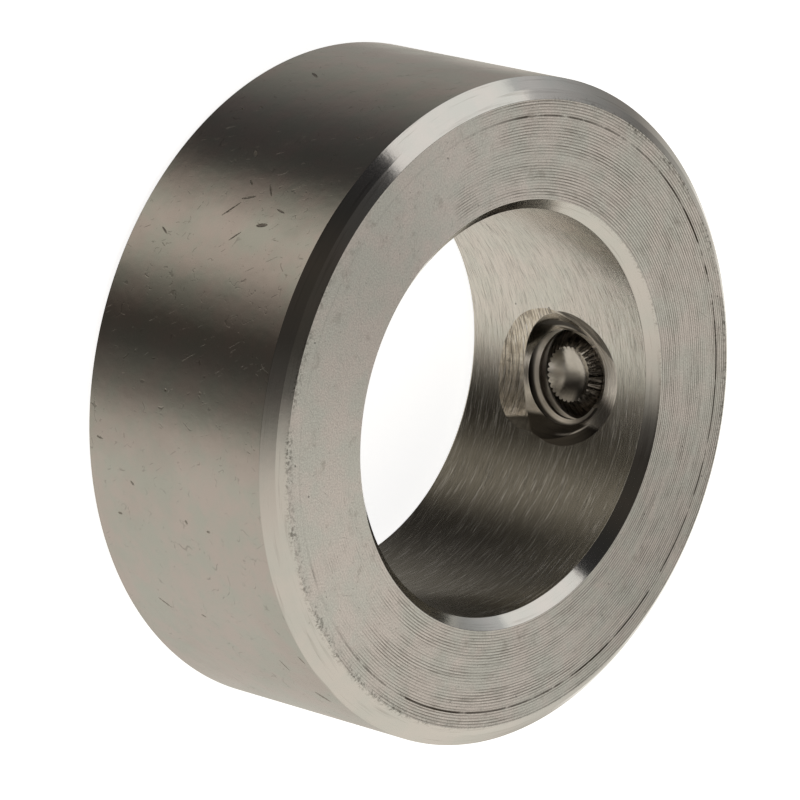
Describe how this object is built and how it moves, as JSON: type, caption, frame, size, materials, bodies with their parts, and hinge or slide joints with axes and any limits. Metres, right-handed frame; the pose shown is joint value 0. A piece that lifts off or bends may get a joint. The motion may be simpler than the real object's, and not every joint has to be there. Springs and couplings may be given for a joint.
{
  "type": "shaft collar",
  "caption": "Plain round shaft collar with a straight chamfered bore and one radial grub screw with a knurled cup point.",
  "frame": {"origin": "centre of the back face, on the shaft axis, where the collar lies on a surface", "axes": "+Z along the shaft axis towards the front face, +Y along the grub screw from its cup point to its hex socket"},
  "size_m": [0.036, 0.036, 0.014],
  "materials": {
    "turned_steel": "turned and polished stainless steel, fine tool marks round the shaft axis",
    "screw_steel": "machined stainless steel, knurled point"
  },
  "bodies": {
    "collar": {"collar": "turned_steel"},
    "grub_screw": {"grub_screw": "screw_steel"}
  },
  "joints": [
    {"name": "screw_travel", "type": "slide", "parent": "collar", "child": "grub_screw", "axis": [0, 1, 0], "range_m": [-0.001, 0.004]}
  ]
}
